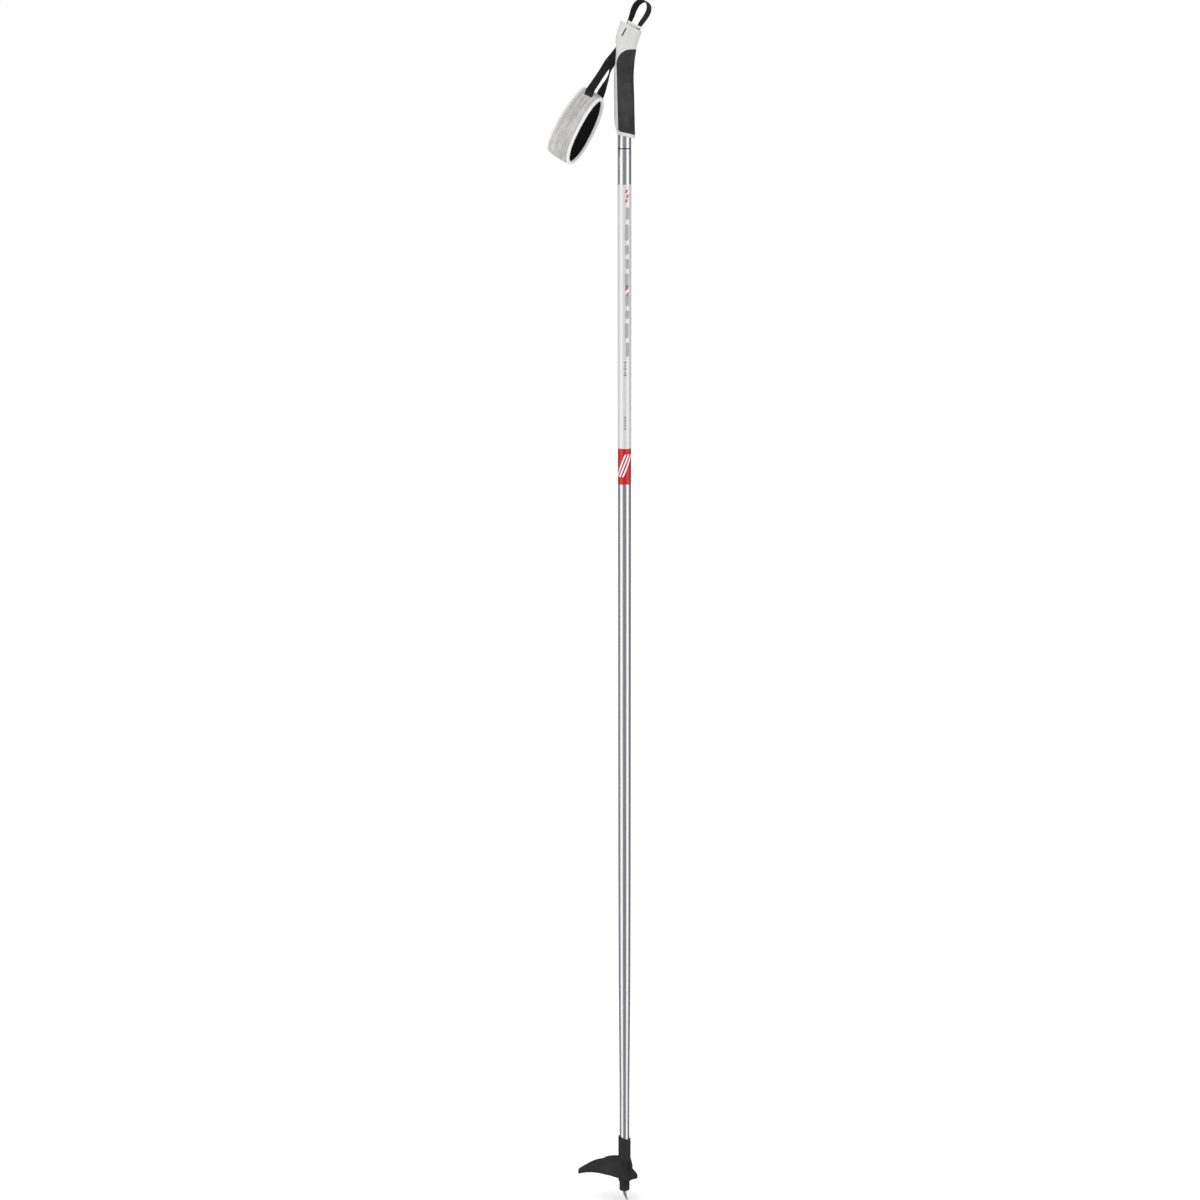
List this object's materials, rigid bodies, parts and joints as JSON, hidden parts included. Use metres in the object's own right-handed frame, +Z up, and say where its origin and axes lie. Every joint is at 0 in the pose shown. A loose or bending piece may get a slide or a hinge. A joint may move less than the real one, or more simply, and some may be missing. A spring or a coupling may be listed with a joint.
{
  "type": "cross-country ski pole",
  "caption": "Cross-country ski pole: slim tapered tube, leaning grip head with a wedge strap lock, padded wrist cuff, asymmetric trail basket and bent steel spike.",
  "frame": {"origin": "on the shaft axis, level with the spike's point", "axes": "+Z up along the shaft axis, +X forward (the way the grip head leans and the spike bends), +Y to the left of travel; the strap and the basket's tail are towards -X"},
  "size_m": [0.1198, 0.062, 1.4736],
  "materials": {
    "tube": "satin anodised",
    "print_white": "gloss printed film",
    "print_red": "gloss printed film",
    "grip_hard": "fine spark texture",
    "grip_soft": "pebbled",
    "lock_plastic": "semi-gloss",
    "plug_foam": "matt",
    "webbing": "woven polyester",
    "cuff_knit": "ribbed knit",
    "cuff_foam": "open-cell foam",
    "cuff_inner": "brushed lining",
    "binding": "folded tape",
    "basket_plastic": "fine texture",
    "spike_steel": "ground"
  },
  "bodies": {
    "pole": {"shaft_tube": "tube", "shaft_top_plug": "plug_foam", "printed_sleeve": "print_white", "red_band": "print_red", "grip_core": "grip_hard", "grip_insert": "grip_soft", "strap_inner_near": "webbing", "strap_inner_far": "webbing", "basket": "basket_plastic", "tip_ferrule": "basket_plastic", "spike": "spike_steel"},
    "wedge": {"strap_wedge": "lock_plastic", "pull_loop": "webbing"},
    "strap_root": {"strap_tail_near": "webbing", "strap_tail_far": "webbing"},
    "strap": {"strap_tape_near": "webbing", "strap_tape_far": "webbing"},
    "cuff": {"cuff_outer_fabric": "cuff_knit", "cuff_foam_pad": "cuff_foam", "cuff_lining": "cuff_inner", "cuff_binding_front": "binding", "cuff_binding_back": "binding", "tape_patch_near": "webbing", "tape_patch_far": "webbing"}
  },
  "joints": [
    {"name": "wedge_pull", "type": "slide", "parent": "pole", "child": "wedge", "axis": [0.4602, 0, 0.8878], "range_m": [0, 0.012]},
    {"name": "strap_sway", "type": "hinge", "parent": "pole", "child": "strap_root", "pos_m": [-0.0122, 0, 1.4086], "axis": [0, 0, 1], "range_deg": [-25, 25]},
    {"name": "strap_swing", "type": "hinge", "parent": "strap_root", "child": "strap", "pos_m": [-0.0205, 0, 1.3971], "axis": [0, 1, 0], "range_deg": [-8, 85]},
    {"name": "cuff_tilt", "type": "hinge", "parent": "strap", "child": "cuff", "pos_m": [-0.03877, -0.00932, 1.36369], "axis": [0.4154, 0.9088, 0.0388], "range_deg": [-10, 25]}
  ]
}
